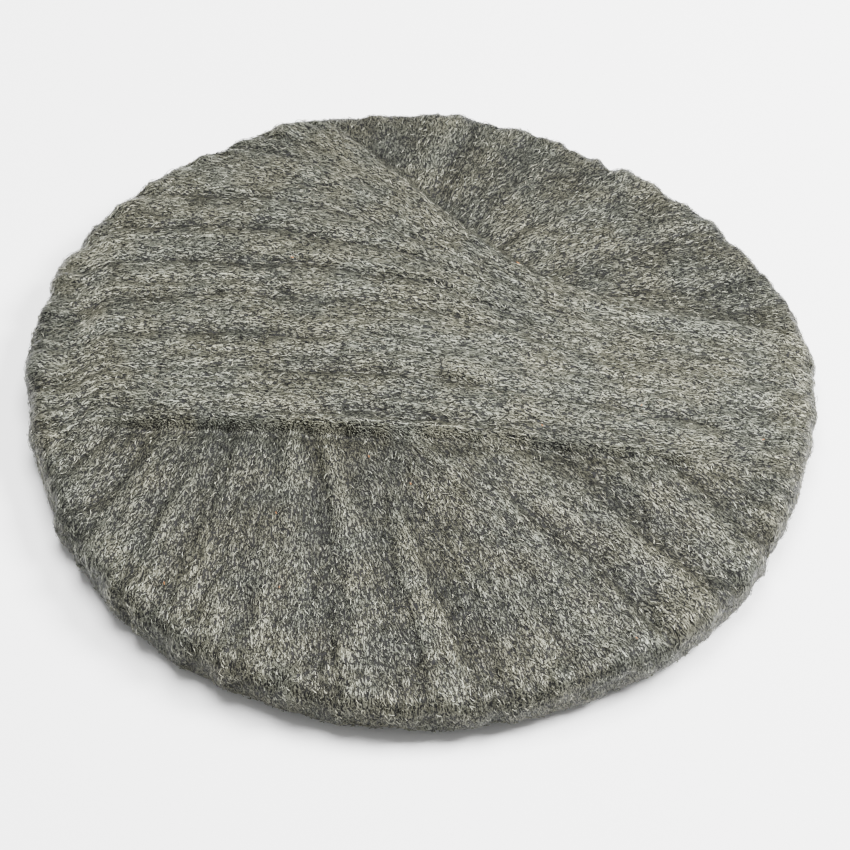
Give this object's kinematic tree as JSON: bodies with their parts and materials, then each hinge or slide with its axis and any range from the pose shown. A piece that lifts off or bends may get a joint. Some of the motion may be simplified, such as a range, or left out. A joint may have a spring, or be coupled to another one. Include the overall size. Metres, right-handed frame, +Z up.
{
  "type": "radial steel wool floor pad",
  "caption": "Round flat pad of grey steel wool, one ribbon laid across itself in turned passes and folded at the rim, for scrubbing and polishing hard floors under a rotary machine.",
  "frame": {"origin": "middle of the pad's box, at the level of the surface it lies on", "axes": "+Z up out of the top face; +X along the strands of the last pass, towards the right as seen from the front; +Y away from the front, square to both"},
  "size_m": [0.4304, 0.4278, 0.0404],
  "materials": {
    "steel_wool": "matted fine steel fibres, warm grey with bright glints and dark gaps, and a few specks of rust"
  },
  "bodies": {
    "root": {"steel_wool_pad": "steel_wool"}
  },
  "joints": []
}
